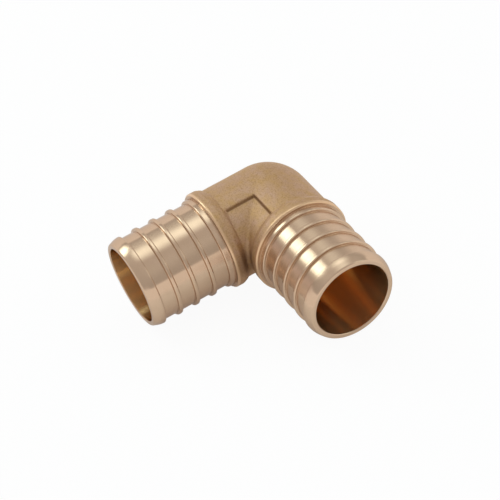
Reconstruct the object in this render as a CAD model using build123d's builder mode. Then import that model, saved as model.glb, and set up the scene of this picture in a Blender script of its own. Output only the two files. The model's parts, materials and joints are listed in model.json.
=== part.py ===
# Right-angle crimp elbow for 1 inch plastic water tube: one brass forging with
# both ends turned and bored. It lies flat as it comes to rest, +Z up, one
# insert pointing to +X and the other to -Y. All sizes are in millimetres.
import os
from math import radians, sqrt, tan

from build123d import *

# Inserts, turned alike on both ends. Places along a leg are measured outwards
# from the point where the two bores cross.
reach = 36.45  # crossing to tip face
rib_d = 21.92  # over the ribs, which the tube is pushed on to
groove_d = 20.7  # between the ribs
rib_count = 5  # the innermost rib runs into the shoulder
rib_pitch = 4.43
rib_width = 1.1  # at its foot
rib_slope = 0.12  # how far each of its sides leans
lead_in = 1.9  # length of the taper that starts the tube
tip_d = 20.5  # small end of that taper
tip_edge = 0.2  # chamfer round the tip
bore_d = 18.35
bore_edge = 0.15  # chamfer that takes the burr off the mouth
drill_angle = 118  # cone that the drill leaves
drill_overrun = 2.8  # full bore past the crossing, so that the bores run into each other

# Shoulder, the thick end of the forging, faced off to stop the tube
shoulder_d = 23.8
shoulder_face = 15.35  # crossing to the face that the tube's end meets
shoulder_rim = 0.35  # chamfer round that face
shoulder_width = 2.65
shoulder_slope = 1.5  # length over which its back runs down to the recess
shoulder_bevel = 0.6  # chamfer on the corner of its back

# Forged body
body_d = 22.24
recess_side = 3.85  # from each leg's centre line to the recess inside the bend
recess_depth = 0.6  # along that side, below the body's skin
recess_bulge = 0.38  # how far the middle of its floor stands out past the skin instead
recess_edge = 0.2  # chamfer along the top of its sides
crease_round = 0.8  # where the two halves of the recess meet
saddle_round = 4.0  # where the skins of the two legs meet above and below it
flash_width = 0.5  # trimmed witness of the die parting, at mid height
flash_height = 0.1

same_place = 0.01  # places nearer to each other than this count as one

# The footprint is centred on the origin: each way it runs from one leg's tip to the side of
# the other leg's shoulder. The shoulders touch z = 0.
to_middle = (reach - shoulder_d / 2) / 2
crossing = Vector(-to_middle, to_middle, shoulder_d / 2)
leg_directions = [Vector(1, 0, 0), Vector(0, -1, 0)]
up = Vector(0, 0, 1)

bend_reach = body_d / 2 + flash_height
recess_reach = body_d / 2 + recess_bulge  # from each leg's centre line, at the bores' level
inside_reach = recess_reach + flash_height
rim_height = sqrt((body_d / 2) ** 2 - recess_side**2)  # above the bores' level
floor_height = rim_height - recess_depth

# The recess floor along a leg is round, through those two places on it
floor_r = (recess_reach - recess_side) / 2 + floor_height**2 / (recess_reach - recess_side) / 2
floor_offset = recess_reach - floor_r
shoulder_back = shoulder_face - shoulder_width
shoulder_foot = shoulder_back - shoulder_slope
leg_end = (shoulder_back + shoulder_face) / 2  # the body's legs end inside the shoulders
outermost_rib = reach - lead_in - rib_width / 2
rib_places = [outermost_rib - i * rib_pitch for i in range(rib_count)]
drill_cone = bore_d / 2 / tan(radians(drill_angle / 2))


def level_plane(direction):
    """Plane level with both bores, its x axis running out along one leg."""
    return Plane(origin=crossing, x_dir=direction, z_dir=up)


def cross_plane(direction, centre=crossing):
    """Plane square to one leg, through the crossing or another place at its level."""
    return Plane(origin=centre, x_dir=up, z_dir=direction)


def rib_inner_side(place):
    """Foot and crest on the shoulder's side of one rib."""
    foot = place - rib_width / 2
    return [(foot, groove_d / 2), (foot + rib_slope, rib_d / 2)]


def rib_outer_side(place):
    """Crest and foot on the tip's side of one rib."""
    foot = place + rib_width / 2
    return [(foot - rib_slope, rib_d / 2), (foot, groove_d / 2)]


def corner_at(sketch, place):
    """Corner of a sketch that lies at a place in the sketch's own plane."""
    return sketch.vertices().sort_by_distance(place)[0]


def on_recess_rim(edge):
    """True for the edges along the top of the recess's two side walls."""
    middle = edge.center() - crossing
    on_wall = any(abs(abs(side) - recess_side) < same_place for side in (middle.X, middle.Y))
    return on_wall and abs(middle.Z) > (rim_height + floor_height) / 2


# Outline of the turned end above its centre line, from the shoulder to the tip
shoulder_back_corner = (shoulder_back, shoulder_d / 2)
shoulder_rim_corner = (shoulder_face, shoulder_d / 2)
tip_corner = (reach, tip_d / 2)
end_outline = [
    (shoulder_foot, 0),
    (shoulder_foot, body_d / 2 - recess_depth),
    shoulder_back_corner,
    shoulder_rim_corner,
    (shoulder_face, rib_d / 2),
    *rib_outer_side(rib_places[-1]),
]
for place in reversed(rib_places[1:-1]):
    end_outline += rib_inner_side(place) + rib_outer_side(place)
end_outline += rib_inner_side(rib_places[0])
end_outline += [(reach - lead_in, rib_d / 2), tip_corner, (reach, 0)]

bore_outline = [
    (-drill_overrun - drill_cone, 0),
    (-drill_overrun, bore_d / 2),
    (reach - bore_edge, bore_d / 2),
    (reach, bore_d / 2 + bore_edge),
    (reach, 0),
]

with BuildPart() as elbow:
    # Two round legs that meet in a ball at the bend
    with Locations(crossing):
        Sphere(body_d / 2)
    for direction in leg_directions:
        with BuildSketch(cross_plane(direction)):
            Circle(body_d / 2)
        extrude(amount=leg_end)

    # Recess inside the bend: the corner is cleared away, then filled again lower
    with BuildSketch(level_plane(leg_directions[0])):
        with Locations((recess_side, -recess_side)):
            Rectangle(reach, reach, align=(Align.MIN, Align.MAX))
    extrude(amount=body_d, both=True, mode=Mode.SUBTRACT)
    for direction, inward in zip(leg_directions, reversed(leg_directions)):
        with BuildSketch(cross_plane(direction, crossing + inward * floor_offset)):
            Circle(floor_r)
        extrude(amount=leg_end)
    creases = elbow.edges().filter_by(GeomType.ELLIPSE).sort_by(SortBy.LENGTH)
    fillet(creases[-1], crease_round)
    fillet(creases[:-1], saddle_round)
    rims = elbow.edges().filter_by(on_recess_rim)
    chamfer(rims, recess_edge)

    # Witness of the die parting, round the body at the height of the bores
    with BuildSketch(level_plane(leg_directions[0])) as parting:
        Circle(bend_reach)
        with Locations((0, bend_reach)):
            Rectangle(leg_end, bend_reach + inside_reach, align=(Align.MIN, Align.MAX))
        with Locations((-bend_reach, 0)):
            Rectangle(bend_reach + inside_reach, leg_end, align=(Align.MIN, Align.MAX))
        fillet(corner_at(parting, (inside_reach, -inside_reach)), crease_round - flash_height)
    extrude(amount=flash_width / 2, both=True)

    # Shoulder and insert, turned on each leg
    for direction in leg_directions:
        with BuildSketch(level_plane(direction)) as end_section:
            with BuildLine():
                Polyline(*end_outline, close=True)
            make_face()
            chamfer(corner_at(end_section, shoulder_back_corner), shoulder_bevel)
            chamfer(corner_at(end_section, tip_corner), tip_edge)
            chamfer(corner_at(end_section, shoulder_rim_corner), shoulder_rim)
        revolve(axis=Axis(crossing, direction))

    # Drilled from both ends until the bores meet
    for direction in leg_directions:
        with BuildSketch(level_plane(direction)):
            with BuildLine():
                Polyline(*bore_outline, close=True)
            make_face()
        revolve(axis=Axis(crossing, direction), mode=Mode.SUBTRACT)

elbow.part.label = "elbow"
os.makedirs("parts", exist_ok=True)
export_step(elbow.part, "parts/elbow.step")
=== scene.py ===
# Right-angle crimp elbow in brass: a forged body, and two ends turned and bored on a lathe.
# Lengths in the settings are in millimetres; Blender's are in metres.
import json
import math

import bmesh
import bpy
from mathutils import Matrix, Vector, noise


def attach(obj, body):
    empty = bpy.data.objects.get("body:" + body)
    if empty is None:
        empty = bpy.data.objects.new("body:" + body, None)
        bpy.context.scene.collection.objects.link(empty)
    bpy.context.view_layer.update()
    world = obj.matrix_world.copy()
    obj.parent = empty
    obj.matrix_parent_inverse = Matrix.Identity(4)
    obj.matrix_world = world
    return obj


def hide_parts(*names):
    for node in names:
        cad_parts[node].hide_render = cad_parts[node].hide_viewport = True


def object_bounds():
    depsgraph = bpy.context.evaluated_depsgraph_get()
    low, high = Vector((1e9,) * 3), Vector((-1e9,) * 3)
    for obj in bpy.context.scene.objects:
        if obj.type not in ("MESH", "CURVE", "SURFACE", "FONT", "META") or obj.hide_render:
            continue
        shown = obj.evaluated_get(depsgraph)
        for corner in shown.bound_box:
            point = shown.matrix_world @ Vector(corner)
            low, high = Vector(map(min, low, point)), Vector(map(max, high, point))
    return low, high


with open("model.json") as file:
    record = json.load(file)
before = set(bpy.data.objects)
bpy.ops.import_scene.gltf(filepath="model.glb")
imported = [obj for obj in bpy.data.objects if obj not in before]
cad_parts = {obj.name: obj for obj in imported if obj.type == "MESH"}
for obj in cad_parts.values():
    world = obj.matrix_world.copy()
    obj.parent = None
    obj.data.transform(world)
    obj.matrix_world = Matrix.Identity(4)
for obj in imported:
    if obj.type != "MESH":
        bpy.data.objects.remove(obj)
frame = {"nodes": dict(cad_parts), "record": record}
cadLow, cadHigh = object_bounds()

mm = 0.001
mounts = {mount["name"]: mount for mount in frame["record"]["mounts"]}
insertX, insertY = mounts["insert_x"], mounts["insert_y"]
crossing = Vector((insertY["pos_m"][0], insertX["pos_m"][1], insertX["pos_m"][2]))  # where the bores cross
legs = {"X": Vector(insertX["axis"]), "Y": Vector(insertY["axis"])}
reach = (cadHigh.x - crossing.x) / mm
ribRadius = insertX["dims"]["r_mm"]
boreRadius = mounts["bore_x"]["dims"]["r_mm"]
alongTheLeg = 0.25  # quarter turn of a stretched highlight, from round the leg to along it


def linearColour(hexCode):
    # sRGB hex to the linear values that the shaders take
    parts = [int(hexCode[i:i + 2], 16) / 255 for i in (1, 3, 5)]
    return [p / 12.92 if p <= 0.04045 else ((p + 0.055) / 1.055) ** 2.4 for p in parts] + [1]


def addNode(tree, kind, settings=None, links=None):
    # settings: property or input -> value; links: input -> another node's output
    node = tree.nodes.new(kind)
    for name, value in (settings or {}).items():
        if isinstance(name, int) or name in node.inputs:
            node.inputs[name].default_value = value
        else:
            setattr(node, name, value)
    for name, output in (links or {}).items():
        tree.links.new(output, node.inputs[name])
    return node


def startMaterial(name):
    material = bpy.data.materials.new(name)
    material.use_nodes = True
    material.node_tree.nodes.clear()
    return material, material.node_tree


def newObject(name, bm, *materials):
    mesh = bpy.data.meshes.new(name)
    bm.to_mesh(mesh)
    bm.free()
    obj = bpy.data.objects.new(name, mesh)
    bpy.context.collection.objects.link(obj)
    for material in materials:
        mesh.materials.append(material)
    return obj


def smoothShade(obj, angle):
    obj.data.polygons.foreach_set("use_smooth", [True] * len(obj.data.polygons))
    obj.data.set_sharp_from_angle(angle=math.radians(angle))


def bakeModifiers(obj):
    # the finished mesh replaces the modifier stack
    graph = bpy.context.evaluated_depsgraph_get()
    baked = bpy.data.meshes.new_from_object(obj.evaluated_get(graph))
    obj.modifiers.clear()
    obj.data = baked


def legMatrix(direction):
    # turns +X to the leg's direction, and moves the origin to the crossing
    turn = Vector((1, 0, 0)).rotation_difference(direction).to_matrix().to_4x4()
    return Matrix.Translation(crossing) @ turn


def objectPlace(tree):
    return addNode(tree, "ShaderNodeTexCoord").outputs["Object"]


def placeInMm(tree, place):
    return addNode(tree, "ShaderNodeMapping", {"Scale": (1 / mm, 1 / mm, 1 / mm)}, {"Vector": place}).outputs[0]


def blend(tree, share, first, second):
    # mixes two colours; each is a hex code or another node's output
    settings, links = {"data_type": "RGBA"}, {0: share}
    for socket, colour in ((6, first), (7, second)):
        if isinstance(colour, str):
            settings[socket] = linearColour(colour)
        else:
            links[socket] = colour
    return addNode(tree, "ShaderNodeMix", settings, links).outputs[2]


def ramp(tree, value, start, end, full):
    # eases from nothing at start to full at end
    return addNode(
        tree, "ShaderNodeMapRange",
        {"interpolation_type": "SMOOTHSTEP", "From Min": start, "From Max": end, "To Max": full},
        {"Value": value},
    ).outputs[0]


def maths(tree, operation, *inputs):
    # each input is a number or another node's output
    settings, links = {"operation": operation}, {}
    for socket, value in enumerate(inputs):
        (settings if isinstance(value, (int, float)) else links)[socket] = value
    return addNode(tree, "ShaderNodeMath", settings, links).outputs[0]


def vectorMaths(tree, operation, vector, constant, output=0):
    return addNode(
        tree, "ShaderNodeVectorMath", {"operation": operation, 1: constant}, {0: vector},
    ).outputs[output]


def roundTheLeg(tree, place, direction):
    # vector that runs round a leg, as the cutting tool does
    fromCrossing = addNode(tree, "ShaderNodeMapping", {"Location": -crossing}, {"Vector": place}).outputs[0]
    return vectorMaths(tree, "CROSS_PRODUCT", fromCrossing, direction)


# Free-cutting brass as it comes off the lathe, turned dry with a fine feed: bright, with fine rings
# that draw each highlight out along the leg
turnedFinish = dict(
    colour="#D4B69B", darker="#CDAF92", edge="#E2DCD8", roughness=0.2, roughnessSpread=0.05, stretch=1.0,
    ringSize=0.45, ringDepth=0.0008,  # the real feed is about 0.1 mm, drawn coarser so that it shows
    cloudSize=2.5, cloudDetail=3.0, ringDetail=2.0,
)


def turnedBrass(name, direction):
    s = turnedFinish
    material, tree = startMaterial(name)
    place = objectPlace(tree)
    cloud = addNode(
        tree, "ShaderNodeTexNoise", {"Scale": 1 / s["cloudSize"], "Detail": s["cloudDetail"]},
        {"Vector": placeInMm(tree, place)},
    ).outputs[0]
    alongOnly = [abs(part) / s["ringSize"] / mm for part in direction]
    ringPlace = addNode(tree, "ShaderNodeMapping", {"Scale": alongOnly}, {"Vector": place}).outputs[0]
    rings = addNode(
        tree, "ShaderNodeTexNoise", {"Scale": 1.0, "Detail": s["ringDetail"]}, {"Vector": ringPlace},
    ).outputs[0]
    tint = blend(tree, cloud, s["colour"], s["darker"])
    low, high = (s["roughness"] + side * s["roughnessSpread"] / 2 for side in (-1, 1))
    rough = addNode(
        tree, "ShaderNodeMapRange", {"To Min": low, "To Max": high}, {"Value": cloud},
    ).outputs[0]
    bump = addNode(
        tree, "ShaderNodeBump", {"Strength": 1.0, "Distance": s["ringDepth"] * mm}, {"Height": rings},
    ).outputs[0]
    shader = addNode(
        tree, "ShaderNodeBsdfPrincipled",
        {
            "Metallic": 1.0, "Specular Tint": linearColour(s["edge"]),
            "Anisotropic": s["stretch"], "Anisotropic Rotation": alongTheLeg,
        },
        {
            "Base Color": tint, "Roughness": rough, "Normal": bump,
            "Tangent": roundTheLeg(tree, place, direction),
        },
    ).outputs[0]
    addNode(tree, "ShaderNodeOutputMaterial", links={"Surface": shader})
    return material


# Hot-forged brass, blasted clean of scale: a dull, even tan with a sandy grain
forgedFinish = dict(
    colour="#C5A174", flush="#C7A58B", roughness=0.62,
    patchSize=2.4, patchDetail=5.0, patchRoughness=0.65, patchFrom=0.35, patchFull=0.68,
    darker="#9C794E", grainSize=0.3, grainDetail=4.0, grainRoughness=0.6, grainDepth=0.02,
    pitsFrom=0.52, pitsFull=0.30, pitShare=0.65,  # the low places in the grain are darker
    rim="#DCB791", rimFrom=14.4, rimFull=15.0, rimRoughness=0.3,  # rubbed bright by the faced shoulders
    # painted shade: the colour darkens towards the inner corner, where shade falls
    crevice="#6E4A2A", creviceReach=11.4, creviceSize=5.5, creviceFull=1.0, creviceShare=0.65,
    # and painted shade along the foot of the recess's walls, in the same dark colour
    stepAt=3.98, stepHalf=0.34, stepEnd=11.2, stepShare=0.7,
)


def forgedBrass():
    s = forgedFinish
    material, tree = startMaterial("forgedBrass")
    place = objectPlace(tree)
    inMm = placeInMm(tree, place)
    grain, patch = (
        addNode(
            tree, "ShaderNodeTexNoise",
            {"Scale": 1 / s[kind + "Size"], "Detail": s[kind + "Detail"], "Roughness": s[kind + "Roughness"]},
            {"Vector": inMm},
        ).outputs[0]
        for kind in ("grain", "patch")
    )
    flushed = addNode(
        tree, "ShaderNodeMapRange", {"From Min": s["patchFrom"], "From Max": s["patchFull"]}, {"Value": patch},
    ).outputs[0]
    pits = addNode(
        tree, "ShaderNodeMapRange",
        {"From Min": s["pitsFrom"], "From Max": s["pitsFull"], "To Max": s["pitShare"]}, {"Value": grain},
    ).outputs[0]
    colour = blend(tree, flushed, s["colour"], s["flush"])
    colour = blend(tree, pits, colour, s["darker"])

    # how far out a place is along its own leg, and along the other one
    fromCrossing = vectorMaths(tree, "SUBTRACT", place, crossing)
    outward = [
        vectorMaths(tree, "DOT_PRODUCT", fromCrossing, direction / mm, "Value") for direction in legs.values()
    ]
    along, aside = maths(tree, "MAXIMUM", *outward), maths(tree, "MINIMUM", *outward)
    rubbed = ramp(tree, along, s["rimFrom"], s["rimFull"], 1.0)
    colour = blend(tree, rubbed, colour, s["rim"])
    roughness = addNode(
        tree, "ShaderNodeMapRange", {"To Min": s["roughness"], "To Max": s["rimRoughness"]}, {"Value": rubbed},
    ).outputs[0]

    # painted shade in the inner corner: a dark colour blended in near it
    innerCorner = crossing + sum(legs.values(), Vector()) * s["creviceReach"] * mm
    fromCorner = vectorMaths(tree, "DISTANCE", place, innerCorner, "Value")
    paintedCornerShade = ramp(tree, fromCorner, s["creviceSize"] * mm, s["creviceFull"] * mm, s["creviceShare"])
    colour = blend(tree, paintedCornerShade, colour, s["crevice"])
    # painted shade: a dark line along the foot of the recess's walls
    offStep = maths(tree, "ABSOLUTE", maths(tree, "SUBTRACT", aside, s["stepAt"]))
    stepShadeLine = ramp(tree, offStep, s["stepHalf"], 0.0, s["stepShare"])
    paintedStepShade = maths(tree, "MULTIPLY", stepShadeLine, maths(tree, "LESS_THAN", along, s["stepEnd"]))
    colour = blend(tree, paintedStepShade, colour, s["crevice"])

    unrubbed = ramp(tree, along, s["rimFull"], s["rimFrom"], 1.0)
    bump = addNode(
        tree, "ShaderNodeBump", {"Distance": s["grainDepth"] * mm}, {"Height": grain, "Strength": unrubbed},
    ).outputs[0]
    shader = addNode(
        tree, "ShaderNodeBsdfPrincipled", {"Metallic": 1.0},
        {"Base Color": colour, "Roughness": roughness, "Normal": bump},
    ).outputs[0]
    addNode(tree, "ShaderNodeOutputMaterial", links={"Surface": shader})
    return material


# Brass as the drill leaves it, dulled by cutting oil: light that goes round inside comes back a deep brown
drilledFinish = dict(colour="#E9BF87", edge="#D29A60", roughness=0.23, stretch=1.0)


def drilledBrass(name, direction):
    s = drilledFinish
    material, tree = startMaterial(name)
    shader = addNode(
        tree, "ShaderNodeBsdfPrincipled",
        {
            "Metallic": 1.0, "Base Color": linearColour(s["colour"]), "Specular Tint": linearColour(s["edge"]),
            "Roughness": s["roughness"], "Anisotropic": s["stretch"], "Anisotropic Rotation": alongTheLeg,
        },
        {"Tangent": roundTheLeg(tree, objectPlace(tree), direction)},
    ).outputs[0]
    addNode(tree, "ShaderNodeOutputMaterial", links={"Surface": shader})
    return material


# One lathe outline for each leg, with its sharp corners broken as a tool and handling leave them
turnedEnd = dict(
    faceBack=15.32, faceAt=15.35, faceRadius=11.55,  # the facing cut on the shoulder, a thin skin
    grooveRadius=10.35, ribCount=5, ribPitch=4.43, ribWidth=1.1, ribLean=0.12,
    leadIn=1.9, tipRadius=10.25, tipEdge=0.2, boreEdge=0.15,
    rootAt=13.0, rootRadius=10.2,  # the part of the sleeve inside the shoulder
    faceFoot=0.05, ribFoot=0.05, ribCorner=0.22, leadInRound=0.7, tipRound=0.12,  # how far each rounding runs
    cornerSteps=4, holdGap=0.05, longShare=0.2, boreWithin=0.01, steps=288, sharpAngle=30,
)


def withHolds(points):
    # a long straight gets a point just past the rounding at both its ends, so that its shading stays straight
    gap = turnedEnd["holdGap"]
    held = [points[0]]
    for (x0, r0, round0), (x1, r1, round1) in zip(points, points[1:]):
        length = math.hypot(x1 - x0, r1 - r0)
        shares = ((round0 + gap) / length, 1 - (round1 + gap) / length)
        if shares[1] - shares[0] > turnedEnd["longShare"]:
            held += [(x0 + (x1 - x0) * share, r0 + (r1 - r0) * share, 0) for share in shares]
        held.append((x1, r1, round1))
    return held


def turnedInsert(name, direction, outer, inner):
    # its outline runs from the root inside the shoulder over the ribs to the mouth: place, radius, rounding
    s = turnedEnd
    half, lean = s["ribWidth"] / 2, s["ribLean"]
    first = reach - s["leadIn"] - half
    places = [first - i * s["ribPitch"] for i in range(s["ribCount"])]
    crest, foot = (ribRadius, s["ribCorner"]), (s["grooveRadius"], s["ribFoot"])
    root = [
        (s["rootAt"], boreRadius, 0), (s["rootAt"], s["rootRadius"], 0), (s["faceBack"], s["rootRadius"], 0),
    ]
    seen = [
        (s["faceBack"], s["faceRadius"], 0), (s["faceAt"], s["faceRadius"], 0),
        (s["faceAt"], ribRadius, s["faceFoot"]),
        (places[-1] + half - lean, *crest), (places[-1] + half, *foot),
    ]
    for place in reversed(places[1:-1]):
        seen += [(place - half, *foot), (place - half + lean, *crest)]
        seen += [(place + half - lean, *crest), (place + half, *foot)]
    seen += [(first - half, *foot), (first - half + lean, *crest)]
    taper = (ribRadius - s["tipRadius"]) / s["leadIn"]
    seen += [
        (reach - s["leadIn"], ribRadius, s["leadInRound"]),
        (reach - s["tipEdge"], s["tipRadius"] + taper * s["tipEdge"], s["tipRound"]),
        (reach, s["tipRadius"] - s["tipEdge"], s["tipRound"]),
        (reach, boreRadius + s["boreEdge"], 0), (reach - s["boreEdge"], boreRadius, 0),
    ]
    outline = root + withHolds(seen)
    bm = bmesh.new()
    verts = [bm.verts.new((along * mm, radius * mm, 0)) for along, radius, rounding in outline]
    for a, b in zip(verts, verts[1:] + verts[:1]):
        bm.edges.new((a, b))
    for size in sorted({rounding for along, radius, rounding in outline if rounding}):
        corners = [vert for vert, (along, radius, rounding) in zip(verts, outline) if rounding == size]
        bmesh.ops.bevel(
            bm, geom=corners, offset=size * mm, offset_type="OFFSET", affect="VERTICES",
            segments=s["cornerSteps"], profile=0.5, material=-1,
        )
    bmesh.ops.spin(
        bm, geom=bm.verts[:] + bm.edges[:], cent=(0, 0, 0), axis=(1, 0, 0), angle=math.tau,
        steps=s["steps"], use_merge=True,
    )
    bmesh.ops.recalc_face_normals(bm, faces=bm.faces)
    for face in bm.faces:
        centre = face.calc_center_median()
        inside = math.hypot(centre.y, centre.z) < (boreRadius + s["boreWithin"]) * mm
        face.material_index = 1 if inside else 0
    bmesh.ops.transform(bm, matrix=legMatrix(direction), verts=bm.verts)
    obj = newObject(name, bm, outer, inner)
    smoothShade(obj, s["sharpAngle"])
    print(name, "made:", len(obj.data.polygons), "faces")
    return obj


# The solid without its turned ends and bores, given an even skin, roughened a little and bored again
forging = dict(
    trim=0.01,  # how far its end faces stay behind the facing cut
    fillRadius=9.8, fillSides=96, fillBall=10.2, fillDivisions=5,  # fills the bores until the skin is made
    voxel=0.182, relax=1, relaxFactor=0.5,
    waviness=0.02, waveSize=3.0, pitting=0.008, pitSize=0.5,
    drillAngle=118, overrun=2.8, cutterPast=1, sharpAngle=40,
)
weldDistance = 1e-6  # in metres


def drillCutter(name, direction, material):
    # fills the bore from its cone to past the end face; the wider part makes room for the insert's sleeve
    s, end = forging, turnedEnd
    cone = boreRadius / math.tan(math.radians(s["drillAngle"] / 2))
    past = end["faceAt"] + s["cutterPast"]
    outline = [
        (-s["overrun"] - cone, 0), (-s["overrun"], boreRadius), (end["rootAt"], boreRadius),
        (end["rootAt"], end["rootRadius"]), (past, end["rootRadius"]), (past, 0),
    ]
    bm = bmesh.new()
    verts = [bm.verts.new((along * mm, radius * mm, 0)) for along, radius in outline]
    for a, b in zip(verts, verts[1:]):
        bm.edges.new((a, b))
    bmesh.ops.spin(
        bm, geom=bm.verts[:] + bm.edges[:], cent=(0, 0, 0), axis=(1, 0, 0), angle=math.tau,
        steps=end["steps"], use_merge=True,
    )
    bmesh.ops.remove_doubles(bm, verts=bm.verts, dist=weldDistance / 10)
    bmesh.ops.recalc_face_normals(bm, faces=bm.faces)
    bmesh.ops.transform(bm, matrix=legMatrix(direction), verts=bm.verts)
    return newObject(name, bm, material)


def forgedBody(outer, drilled):
    s = forging
    bm = bmesh.new()
    bm.from_mesh(frame["nodes"]["elbow"].data)
    bmesh.ops.remove_doubles(bm, verts=bm.verts, dist=weldDistance)
    trimAt = (turnedEnd["faceBack"] - s["trim"]) * mm
    for direction in legs.values():
        cut = bmesh.ops.bisect_plane(
            bm, geom=bm.verts[:] + bm.edges[:] + bm.faces[:], dist=weldDistance / 10,
            plane_co=crossing + direction * trimAt, plane_no=direction, clear_outer=True,
        )
        rim = [g for g in cut["geom_cut"] if isinstance(g, bmesh.types.BMEdge)]
        bmesh.ops.triangle_fill(bm, edges=rim, use_beauty=True)
    fill = s["fillRadius"] * mm
    for direction in legs.values():
        middle = Matrix.Translation((trimAt / 2, 0, 0)) @ Matrix.Rotation(math.pi / 2, 4, "Y")
        bmesh.ops.create_cone(
            bm, cap_ends=True, segments=s["fillSides"], radius1=fill, radius2=fill,
            depth=trimAt, matrix=legMatrix(direction) @ middle,
        )
    bmesh.ops.create_icosphere(
        bm, subdivisions=s["fillDivisions"], radius=s["fillBall"] * mm, matrix=Matrix.Translation(crossing),
    )
    obj = newObject("forgedBody", bm, outer, *drilled.values())
    remesh = obj.modifiers.new("skin", "REMESH")
    remesh.mode = "VOXEL"
    remesh.voxel_size = s["voxel"] * mm
    relax = obj.modifiers.new("relax", "SMOOTH")
    relax.factor = s["relaxFactor"]
    relax.iterations = s["relax"]
    bakeModifiers(obj)

    # a blasted forging is a little wavy and pitted all over
    bm = bmesh.new()
    bm.from_mesh(obj.data)
    bm.normal_update()
    for v in bm.verts:
        wave = noise.noise(v.co / (s["waveSize"] * mm)) * s["waviness"]
        pit = noise.noise(v.co / (s["pitSize"] * mm)) * s["pitting"]
        v.co += v.normal * (wave + pit - s["waviness"] / 2) * mm
    bm.to_mesh(obj.data)
    bm.free()
    print("forged body skin:", len(obj.data.polygons), "faces")

    cutters = [drillCutter("drill" + key, direction, drilled[key]) for key, direction in legs.items()]
    for cutter in cutters:
        bore = obj.modifiers.new(cutter.name, "BOOLEAN")
        bore.operation = "DIFFERENCE"
        bore.solver = "EXACT"
        bore.object = cutter
        bore.material_mode = "TRANSFER"
    bakeModifiers(obj)
    for cutter in cutters:
        bpy.data.objects.remove(cutter)
    smoothShade(obj, s["sharpAngle"])
    print("forged body bored:", len(obj.data.polygons), "faces")
    return obj


drilled = {key: drilledBrass("drilledBrass" + key, direction) for key, direction in legs.items()}
pieces = [forgedBody(forgedBrass(), drilled)]
for key, direction in legs.items():
    turned = turnedBrass("turnedBrass" + key, direction)
    pieces.append(turnedInsert("turnedInsert" + key, direction, turned, drilled[key]))
for piece in pieces:
    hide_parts("elbow")
    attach(piece, "root")

# A pale floor in a white room that is greyer overhead
studio = dict(
    floorSize=3.0,  # half its side, in metres
    floorColour="#F7F7F7",
    whiteToCamera=0.94, whiteToMetal=1.0,  # share of the floor that is plain white for those rays
    nearShare=0.23, nearEdge=20, farEdge=85,  # metal sees less white within these distances of the part
    # the white ends at the horizon, a height between 0 and 1; the room's grey rises from mid there to top
    horizon=0.339, horizonLean=0.095, horizonSoft=0.02, mid=0.515, top=0.69,
    white="#FFFFFF", glowTint="#EBFFFF",
)
# soft light and shade round the room: full inside the inner angle, none outside the outer one
glows = {
    "aroundSideBox": dict(azimuth=-61, elevation=39, inner=6, outer=24, amount=0.8),
    "underSideBox": dict(azimuth=-43, elevation=14, inner=4, outer=20, amount=-0.45),
    "ceiling": dict(azimuth=-126, elevation=69, inner=2, outer=28, amount=1.45),
    "behind": dict(azimuth=150, elevation=33, inner=4, outer=20, amount=1.0),
}
softBoxes = {
    "sideBox": dict(azimuth=-62, elevation=41, distance=600, width=260, height=210, radiance=3.0),
}


def towards(s):
    # unit vector: azimuth 0 is the -Y side and 90 the +X side
    azimuth, elevation = math.radians(s["azimuth"]), math.radians(s["elevation"])
    level = math.cos(elevation)
    return Vector((math.sin(azimuth) * level, -math.cos(azimuth) * level, math.sin(elevation)))


def layFloor():
    # plain white to the camera and, away from the part, to the metal; the rest of it takes the shadow
    s = studio
    material, tree = startMaterial("paleFloor")
    path = addNode(tree, "ShaderNodeLightPath")
    mirror = maths(tree, "MAXIMUM", path.outputs["Is Glossy Ray"], path.outputs["Is Transmission Ray"])
    distance = addNode(
        tree, "ShaderNodeVectorMath", {"operation": "LENGTH"}, {0: objectPlace(tree)},
    ).outputs["Value"]
    whiteness = addNode(
        tree, "ShaderNodeMapRange",
        {
            "From Min": s["nearEdge"] * mm, "From Max": s["farEdge"] * mm,
            "To Min": s["nearShare"], "To Max": s["whiteToMetal"],
        },
        {"Value": distance},
    ).outputs[0]
    forMetal = maths(tree, "MULTIPLY", mirror, whiteness)
    share = maths(tree, "MULTIPLY_ADD", path.outputs["Is Camera Ray"], s["whiteToCamera"], forMetal)
    diffuse = addNode(tree, "ShaderNodeBsdfDiffuse", {"Color": linearColour(s["floorColour"])}).outputs[0]
    white = addNode(tree, "ShaderNodeEmission", {"Strength": 1.0}).outputs[0]
    mix = addNode(tree, "ShaderNodeMixShader", links={0: share, 1: diffuse, 2: white}).outputs[0]
    addNode(tree, "ShaderNodeOutputMaterial", links={"Surface": mix})
    bm = bmesh.new()
    bmesh.ops.create_grid(bm, x_segments=1, y_segments=1, size=s["floorSize"])
    floor = newObject("floor", bm, material)


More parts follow.
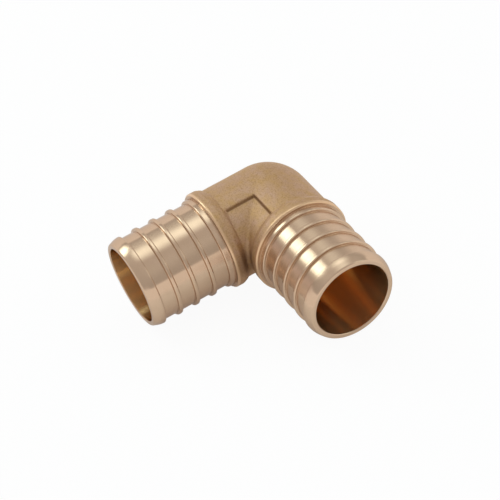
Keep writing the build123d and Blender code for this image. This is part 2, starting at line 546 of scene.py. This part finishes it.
def lightWorld():
    # white surroundings up to a little above the horizon, then a greyer room with soft glows
    s = studio
    world = bpy.data.worlds.new("studio")
    bpy.context.scene.world = world
    world.use_nodes = True
    tree = world.node_tree
    tree.nodes.clear()
    direction = addNode(tree, "ShaderNodeTexCoord").outputs["Generated"]
    height = vectorMaths(tree, "DOT_PRODUCT", direction, (s["horizonLean"], 0, 1), "Value")
    room = addNode(
        tree, "ShaderNodeMapRange",
        {"From Min": s["horizon"], "From Max": 1.0, "To Min": s["mid"], "To Max": s["top"]}, {"Value": height},
    ).outputs[0]
    above, below = s["horizon"] + s["horizonSoft"], s["horizon"] - s["horizonSoft"]
    isLow = addNode(
        tree, "ShaderNodeMapRange", {"From Min": above, "From Max": below}, {"Value": height},
    ).outputs[0]
    light = blend(tree, isLow, room, s["white"])
    tint = linearColour(s["glowTint"])[:3]
    for glow in glows.values():
        angle = maths(tree, "ARCCOSINE", vectorMaths(tree, "DOT_PRODUCT", direction, towards(glow), "Value"))
        amount = ramp(tree, angle, math.radians(glow["outer"]), math.radians(glow["inner"]), glow["amount"])
        glowing = addNode(
            tree, "ShaderNodeVectorMath", {"operation": "SCALE", 0: tint}, {"Scale": amount},
        ).outputs[0]
        light = addNode(tree, "ShaderNodeVectorMath", {"operation": "ADD"}, {0: light, 1: glowing}).outputs[0]
    camera = addNode(tree, "ShaderNodeLightPath").outputs["Is Camera Ray"]
    colour = blend(tree, camera, light, s["white"])
    background = addNode(tree, "ShaderNodeBackground", links={"Color": colour}).outputs[0]
    addNode(tree, "ShaderNodeOutputWorld", links={"Surface": background})


def hangSoftBoxes():
    for name, s in softBoxes.items():
        data = bpy.data.lights.new(name, "AREA")
        data.shape = "RECTANGLE"
        data.size, data.size_y = s["width"] * mm, s["height"] * mm
        data.energy = s["radiance"] * math.pi * data.size * data.size_y
        data.color = linearColour(studio["glowTint"])[:3]
        lamp = bpy.data.objects.new(name, data)
        lamp.location = crossing + towards(s) * s["distance"] * mm
        lamp.rotation_euler = towards(s).to_track_quat("Z", "Y").to_euler()
        lamp.visible_camera = False
        bpy.context.collection.objects.link(lamp)


lightWorld()
layFloor()
hangSoftBoxes()

cameraSettings = dict(
    azimuth=69.92, elevation=44.14, roll=-14.62, distance=445.8,
    crossingRight=4.12, crossingUp=9.09,  # where the crossing lies off the middle of the view
    lens=140.2, sensor=36.0, clipStart=0.01, clipEnd=20,  # the clip distances are in metres
)


def placeCamera():
    s = cameraSettings
    azimuth, roll = math.radians(s["azimuth"]), math.radians(s["roll"])
    back = towards(s)
    level = Vector((math.cos(azimuth), math.sin(azimuth), 0))
    upright = back.cross(level)
    right = level * math.cos(roll) + upright * math.sin(roll)
    up = back.cross(right)
    data = bpy.data.cameras.new("camera")
    data.lens, data.sensor_width = s["lens"], s["sensor"]
    data.clip_start, data.clip_end = s["clipStart"], s["clipEnd"]
    camera = bpy.data.objects.new("camera", data)
    place = crossing + (back * s["distance"] - right * s["crossingRight"] - up * s["crossingUp"]) * mm
    camera.matrix_world = Matrix.Translation(place) @ Matrix((right, up, back)).transposed().to_4x4()
    bpy.context.collection.objects.link(camera)
    bpy.context.scene.camera = camera


placeCamera()
bpy.context.scene.view_settings.view_transform = "Standard"
print("studio and camera ready")

bpy.context.view_layer.update()
